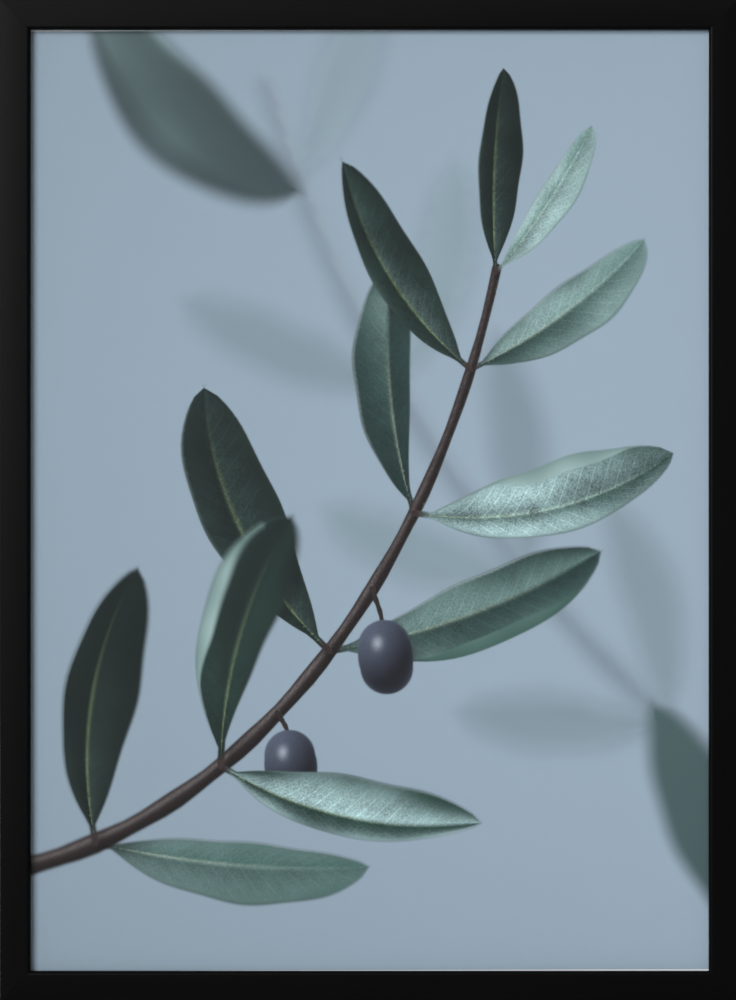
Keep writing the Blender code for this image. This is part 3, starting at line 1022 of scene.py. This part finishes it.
def printed_paper():
    paper = Finish("printed_paper")
    place = paper.place((1 / MM, 1 / MM, 1 / MM))
    x, y, z = paper.split(place)
    z = z - CENTRE.z / MM
    ink = paper.node("ShaderNodeAttribute", {"attribute_name": "ink"})
    cover = ink.also("Alpha")
    spot = paper.node("ShaderNodeAttribute", {"attribute_name": "leaf_place"}, output=1)
    along, across, veined = paper.split(spot)

    grain = paper.noise(place, 1.6, detail=1.0)
    level = 1.0 + x * RISE_ACROSS - z * FALL_UP - x * x * CORNERS_FADE_X - z * z * CORNERS_FADE_Z
    level = level + (grain - 0.5) * 0.04
    ground = paper.blend(1.0, (*GROUND, 1), level, "MULTIPLY")
    ground = paper.blend(cover, ground, (0, 0, 0, 1))

    stripe = paper.node("ShaderNodeMath", {"operation": "FRACT"}, {0: along - abs(across) * 2.2})
    vein = (1 - abs(stripe - 0.5).ramp(0.0, 0.09)) * 0.45
    pores = (paper.noise(place, 0.70, detail=1.0, roughness=0.7) - 0.5) * 1.6
    clouds = (paper.noise(place, 0.06, detail=2.0) - 0.5) * 1.2
    leaf_tone = (vein + pores + clouds) * veined + 1
    drawn = paper.blend(1.0, ink, leaf_tone, "MULTIPLY")
    printed = paper.blend(1.0, drawn, ground, "ADD")

    def inside(value, low, high):
        return value.ramp(low, low + MARGIN_BLEED) * (1 - value.ramp(high - MARGIN_BLEED, high))

    half_x, half_z = (float(half) for half in half_paper)
    has_ink = inside(x + z * ASKEW, -half_x + MARGINS["left"], half_x - MARGINS["right"])
    has_ink = has_ink * inside(z - x * ASKEW, -half_z + MARGINS["bottom"], half_z - MARGINS["top"])
    middle = (paper_low[1] + paper_high[1]) / 2 / MM
    has_ink = has_ink * (1 - y.ramp(middle - 0.05, middle + 0.05))
    tooth = paper.noise(place, 2.5, detail=1.0)
    return paper.wear(
        Base_Color=paper.blend(has_ink, PAPER_WHITE, printed),
        Roughness=tooth * 0.10 + 0.50 - cover * 0.08,
        Normal=paper.bump(tooth, 0.15, 0.02 * MM),
        Specular_IOR_Level=0.10,
    )


sheet_shape, flat_spots = printed_sheet()
sheet = hand_over("printed_sheet", sheet_shape, printed_paper(), "print_sheet")
set_ink(sheet.data, flat_spots)
print("printed sheet:", len(sheet.data.polygons), "faces")

# %% [markdown]
# The back board is hardboard: pressed wood fibre, brown and smooth, with a fine felt of paler and
# darker fibres that point every way. Two noises stretched along different directions give that
# felt, and a slow cloud keeps the big plain surface from looking like painted plastic.

# %% Make the hardboard
def hardboard():
    board = Finish("hardboard")
    along = board.noise(board.place((160, 900, 1500)), 1.0, detail=4.0, roughness=0.65)
    upwards = board.noise(board.place((1500, 900, 160)), 1.0, detail=4.0, roughness=0.65)
    cloud = board.noise(board.place(), 9.0, detail=3.0)
    specks = board.noise(board.place(), 700.0, detail=1.0).ramp(0.66, 0.74)
    fibres = along * 0.5 + upwards * 0.5
    tone = (fibres - 0.5) * 2.2 + (cloud - 0.5) * 0.3 + 0.5
    colour = board.blend(tone, (0.110, 0.060, 0.030, 1), (0.260, 0.155, 0.082, 1))
    colour = board.blend(specks * 0.6, colour, (0.065, 0.035, 0.020, 1))
    return board.wear(
        Base_Color=colour,
        Roughness=fibres * 0.25 + 0.58,
        Normal=board.bump(fibres, 0.45, 0.10 * MM),
    )


dress("backing_board", hardboard())

# %% [markdown]
# The points, the toothed hangers and their nails are zinc-plated steel, rolled and then stamped, so
# they carry fine rolling lines and a cloudy, slightly dull shine. Their edges get a small bevel,
# which catches light. The corner wedges are blued, which leaves a dark oxide with brown patches.

# %% Make the two steels
EDGE_BREAK = 0.12 * MM


def plated_steel():
    steel = Finish("bright_steel")
    lines = steel.noise(steel.place((60, 2500, 2500)), 1.0, detail=3.0)
    cloud = steel.noise(steel.place(), 220.0, detail=3.0)
    return steel.wear(
        Base_Color=steel.blend(cloud, (0.46, 0.465, 0.47, 1), (0.68, 0.68, 0.66, 1)),
        Metallic=1.0,
        Roughness=cloud * 0.16 + lines * 0.08 + 0.24,
        Normal=steel.bump(lines, 0.20, 0.02 * MM),
    )


def blued_steel():
    steel = Finish("blued_steel")
    cloud = steel.noise(steel.place(), 350.0, detail=3.0)
    brown = steel.noise(steel.place(), 120.0, detail=2.0).ramp(0.56, 0.70)
    colour = steel.blend(cloud, (0.035, 0.040, 0.050, 1), (0.085, 0.088, 0.092, 1))
    return steel.wear(
        Base_Color=steel.blend(brown, colour, (0.075, 0.045, 0.030, 1)),
        Metallic=1.0,
        Roughness=cloud * 0.20 + 0.28,
        Normal=steel.bump(cloud, 0.25, 0.03 * MM),
    )


def break_edges(node):
    """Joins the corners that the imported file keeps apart, then bevels the sharp edges."""
    node.modifiers.new("joined", "WELD").merge_threshold = 0.001 * MM
    bevel = node.modifiers.new("broken_edges", "BEVEL")
    bevel.width = EDGE_BREAK
    bevel.segments = 2
    bevel.limit_method = "ANGLE"
    bevel.angle_limit = math.radians(40)


for kind in ("flex_point", "toothed_hanger", "hanger_nail"):
    for part in dress(kind, plated_steel()):
        break_edges(part)
dress("corner_wedge", blued_steel())

# %% [markdown]
# The frame stands on a plain pale floor, which isn't part of it. The camera doesn't see the floor
# from the front, but it shows in every other view. It is kept out of mirror images, because the
# clear sheet would show it as a pale band across the lower third of the picture.

# %% Lay the floor
FLOOR_HALF = 3.0


def floor_finish():
    floor = Finish("pale_floor")
    cloud = floor.noise(floor.place(), 2.0, detail=4.0)
    colour = floor.blend(cloud, (0.56, 0.57, 0.58, 1), (0.62, 0.63, 0.64, 1))
    return floor.wear(Base_Color=colour, Roughness=cloud * 0.1 + 0.6)


floor_shape = bmesh.new()
for x, y in ((-1, -1), (1, -1), (1, 1), (-1, 1)):
    floor_shape.verts.new((x * FLOOR_HALF, y * FLOOR_HALF, FLOOR_LEVEL))
floor_shape.faces.new(floor_shape.verts)
floor_mesh = bpy.data.meshes.new("floor")
floor_shape.to_mesh(floor_mesh)
floor_shape.free()
floor_mesh.materials.append(floor_finish())
floor = bpy.data.objects.new("floor", floor_mesh)
floor.visible_glossy = False
bpy.context.scene.collection.objects.link(floor)
print("floor at", round(FLOOR_LEVEL / MM, 1), "mm")
